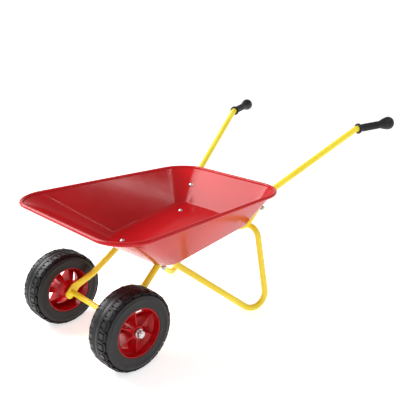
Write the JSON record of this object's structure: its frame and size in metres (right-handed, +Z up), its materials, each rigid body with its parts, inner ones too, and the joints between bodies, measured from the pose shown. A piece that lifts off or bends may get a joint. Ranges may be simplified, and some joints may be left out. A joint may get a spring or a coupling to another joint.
{
  "type": "wheelbarrow",
  "caption": "Child's twin-wheel wheelbarrow: pressed steel tray on bent tube handles with splayed stand, axle and moulded wheels.",
  "frame": {"origin": "middle of the object's box, on the ground", "axes": "+X forward, towards the wheels; +Y the left side; +Z up"},
  "size_m": [0.8001, 0.4836, 0.4118],
  "materials": {
    "tray_red": "gloss enamel",
    "frame_yellow": "gloss powder coat",
    "grip_black": "satin moulded",
    "tyre_black": "moulded, matt",
    "hub_red": "gloss moulded",
    "bush_black": "moulded",
    "zinc_steel": "bright zinc plate"
  },
  "bodies": {
    "frame": {"tray": "tray_red", "left_handle_tube": "frame_yellow", "right_handle_tube": "frame_yellow", "stand": "frame_yellow", "left_grip": "grip_black", "right_grip": "grip_black", "front_floor_bolts": "zinc_steel", "front_floor_washers": "zinc_steel", "front_floor_nuts": "zinc_steel", "rear_floor_bolts": "zinc_steel", "rear_floor_washers": "zinc_steel", "rear_floor_nuts": "zinc_steel", "rear_wall_bolts": "zinc_steel", "rear_wall_washers": "zinc_steel", "rear_wall_nuts": "zinc_steel", "axle_rod": "zinc_steel", "axle_spacer_tube": "frame_yellow", "axle_inner_washers": "zinc_steel", "axle_outer_washers": "zinc_steel", "axle_lock_nuts": "zinc_steel"},
    "left_wheel": {"left_tyre": "tyre_black", "left_hub": "hub_red", "left_inner_bush": "bush_black", "left_outer_bush": "bush_black"},
    "right_wheel": {"right_tyre": "tyre_black", "right_hub": "hub_red", "right_inner_bush": "bush_black", "right_outer_bush": "bush_black"}
  },
  "joints": [
    {"name": "left_wheel_spin", "type": "hinge", "parent": "frame", "child": "left_wheel", "pos_m": [0.32, 0.123, 0.08], "axis": [0, 1, 0], "continuous": true},
    {"name": "right_wheel_spin", "type": "hinge", "parent": "frame", "child": "right_wheel", "pos_m": [0.32, -0.123, 0.08], "axis": [0, 1, 0], "continuous": true}
  ]
}
